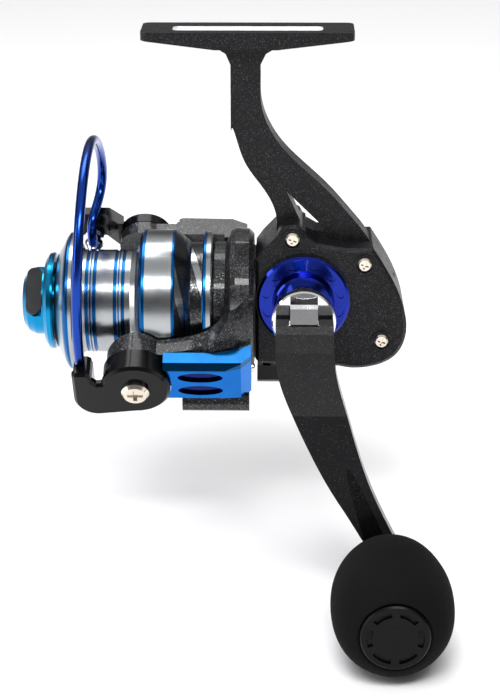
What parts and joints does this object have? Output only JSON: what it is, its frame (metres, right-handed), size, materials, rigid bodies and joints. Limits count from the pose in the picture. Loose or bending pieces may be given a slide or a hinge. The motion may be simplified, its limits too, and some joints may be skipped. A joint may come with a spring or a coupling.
{
  "type": "spinning reel",
  "caption": "Open-face spinning reel with a T foot, folding crank handle with round grip, flip-over bail, front-drag spool and working gear train.",
  "frame": {"origin": "centre of the foot's top face, the face that lies against the rod", "axes": "+Z out of the foot's top face towards the rod, +X towards the rear of the reel along the spool shaft, handle on the -Y side"},
  "size_m": [0.119, 0.1266, 0.1504],
  "materials": {
    "flake_black": "gloss",
    "rotor_black": "gloss",
    "blue_anodised": "gloss",
    "deep_blue": "gloss",
    "cyan_anodised": "gloss",
    "spool_aluminium": "satin",
    "chrome": "polished",
    "steel": "satin",
    "screw_nickel": "satin",
    "brass": "satin",
    "zinc": "satin",
    "black_plastic": "satin",
    "foam": "matte",
    "felt": "matte",
    "pad_rubber": "matte"
  },
  "bodies": {
    "body": {"body_housing": "flake_black", "side_cover": "flake_black", "side_cover_screws": "screw_nickel", "crank_bearing_right": "steel", "crank_bearing_left": "steel", "port_cap": "black_plastic", "bearing_cap_ring": "deep_blue", "clutch_outer_race": "steel", "clutch_retainer": "black_plastic", "clutch_rollers": "steel", "retainer_screws": "steel", "pinion_front_bearing": "steel", "pinion_rear_bush": "brass", "slider_guide_rods": "steel"},
    "crank": {"drive_shaft": "steel", "drive_gear": "zinc", "crank_shim": "brass", "oscillation_pinion": "brass", "handle_collar": "chrome", "hinge_block": "chrome", "fold_pin": "chrome"},
    "oscillation": {"oscillation_gear": "black_plastic"},
    "reverse_lever": {"anti_reverse_lever": "black_plastic"},
    "rotor": {"rotor": "rotor_black", "pinion_gear": "brass", "clutch_inner_sleeve": "steel", "rotor_nut": "steel", "arm_cover": "blue_anodised", "arm_cover_screw": "screw_nickel", "far_arm_cover": "black_plastic", "bail_spring": "steel", "bail_spring_guide": "black_plastic", "pivot_screws": "screw_nickel"},
    "trip": {"trip_lever": "black_plastic"},
    "bail": {"bail_arm": "black_plastic", "bail_holder": "black_plastic", "bail_wire": "deep_blue", "wire_cone": "chrome", "line_roller_screw": "screw_nickel"},
    "roller": {"line_roller": "chrome"},
    "shaft": {"main_shaft": "steel", "oscillation_slider": "black_plastic", "slider_screw": "steel", "spool_support": "black_plastic"},
    "spool": {"spool": "spool_aluminium", "drag_felts": "felt", "drag_discs": "steel", "drag_retaining_ring": "steel", "click_pawl": "brass", "line_clip": "black_plastic"},
    "drag": {"drag_knob": "cyan_anodised", "drag_knob_pads": "pad_rubber", "drag_knob_nut": "brass", "drag_knob_spring": "steel"},
    "handle": {"handle_arm": "flake_black", "knob_post": "steel"},
    "grip": {"knob_grip": "foam", "knob_bush": "black_plastic", "knob_cap": "black_plastic", "knob_screw": "steel"}
  },
  "joints": [
    {"name": "crank_turn", "type": "hinge", "parent": "body", "child": "crank", "pos_m": [0.0156, 0, -0.0741], "axis": [0, 1, 0], "continuous": true},
    {"name": "rotor_spin", "type": "hinge", "parent": "body", "child": "rotor", "pos_m": [0, 0, -0.0787], "axis": [1, 0, 0], "continuous": true},
    {"name": "oscillation_gear_spin", "type": "hinge", "parent": "body", "child": "oscillation", "pos_m": [0.0278, 0.004, -0.07725], "axis": [0, 1, 0], "continuous": true},
    {"name": "shaft_slide", "type": "slide", "parent": "body", "child": "shaft", "axis": [1, 0, 0], "range_m": [-0.0098, 0.0022]},
    {"name": "spool_spin", "type": "hinge", "parent": "shaft", "child": "spool", "pos_m": [-0.035, 0, -0.0787], "axis": [1, 0, 0], "continuous": true},
    {"name": "drag_knob_turn", "type": "hinge", "parent": "shaft", "child": "drag", "pos_m": [-0.058, 0, -0.0787], "axis": [1, 0, 0], "range_deg": [-90, 540]},
    {"name": "bail_flip", "type": "hinge", "parent": "rotor", "child": "bail", "pos_m": [-0.0307, 0, -0.0787], "axis": [0, -0.8686, -0.4955], "range_deg": [0, 100]},
    {"name": "line_roller_spin", "type": "hinge", "parent": "bail", "child": "roller", "pos_m": [-0.0462, 0.02367, -0.06773], "axis": [0, -0.8686, -0.4955], "continuous": true},
    {"name": "trip_lever_kick", "type": "hinge", "parent": "rotor", "child": "trip", "pos_m": [-0.013, 0.02041, -0.06706], "axis": [0, -0.8686, -0.4955], "range_deg": [0, 6]},
    {"name": "handle_fold", "type": "hinge", "parent": "crank", "child": "handle", "pos_m": [0.0156, -0.0355, -0.0768], "axis": [1, 0, 0], "range_deg": [0, 28]},
    {"name": "knob_spin", "type": "hinge", "parent": "handle", "child": "grip", "pos_m": [0.0384, -0.076, -0.1344], "axis": [0, 1, 0], "continuous": true},
    {"name": "anti_reverse_switch", "type": "hinge", "parent": "body", "child": "reverse_lever", "pos_m": [0.0053, 0, -0.0884], "axis": [1, 0, 0], "range_deg": [0, 50]}
  ],
  "couplings": [
    {"joint": "rotor_spin", "follows": "crank_turn", "ratio": -5.25},
    {"joint": "oscillation_gear_spin", "follows": "crank_turn", "ratio": -0.4},
    {"joint": "trip_lever_kick", "follows": "bail_flip", "ratio": 0.06}
  ]
}
